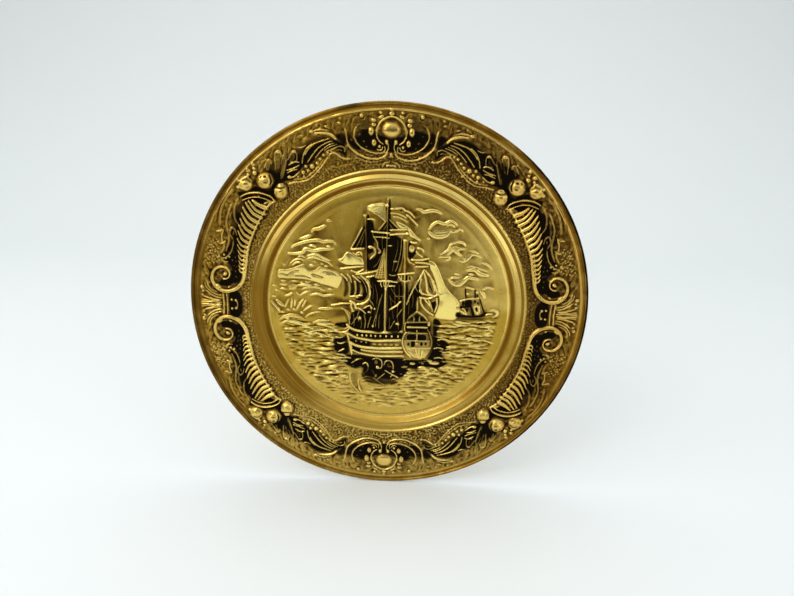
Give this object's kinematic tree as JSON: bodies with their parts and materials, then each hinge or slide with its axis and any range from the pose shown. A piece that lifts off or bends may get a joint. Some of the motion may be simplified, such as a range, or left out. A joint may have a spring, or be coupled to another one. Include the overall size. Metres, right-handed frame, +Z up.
{
  "type": "decorative wall plate",
  "caption": "Round pressed brass wall plate with a rolled edge, an ornamental border and a sailing ship raised in its shallow well.",
  "frame": {"origin": "middle of the flat back of the well, the face that lies against the wall", "axes": "+Z up the picture, -Y the way the plate faces, out of the wall, +Y into the wall, +X to the viewer's right"},
  "size_m": [0.305, 0.0099, 0.305],
  "materials": {
    "antiqued_brass": "stamped brass, golden brown patina, black wax rubbed into the recesses, high places wiped bright"
  },
  "bodies": {
    "root": {"plate": "antiqued_brass"}
  },
  "joints": []
}
